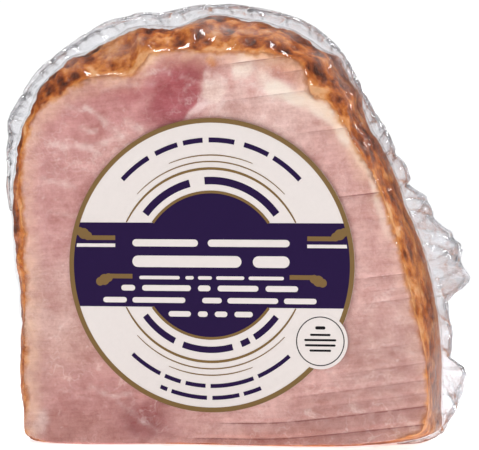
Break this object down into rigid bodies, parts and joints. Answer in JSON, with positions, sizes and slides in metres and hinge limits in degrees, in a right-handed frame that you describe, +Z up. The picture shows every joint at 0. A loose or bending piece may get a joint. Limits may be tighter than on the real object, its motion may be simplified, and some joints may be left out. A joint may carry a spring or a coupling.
{
  "type": "vacuum-packed ham",
  "caption": "Quarter of a glazed, sliced boneless ham that stands on its flat butt cut, sealed in clear vacuum film, with a round label on the cut face.",
  "frame": {"origin": "middle of the bounding box, at the foot that the ham stands on", "axes": "+X to the right of the cut face as seen from the front, +Y from the cut face into the ham, +Z up"},
  "size_m": [0.1642, 0.0784, 0.154],
  "materials": {
    "ham_in_film": "ham and browned crust under clear glossy film",
    "label_paper": "coated printed paper"
  },
  "bodies": {
    "root": {"film_bag": "ham_in_film", "label": "label_paper"}
  },
  "joints": []
}
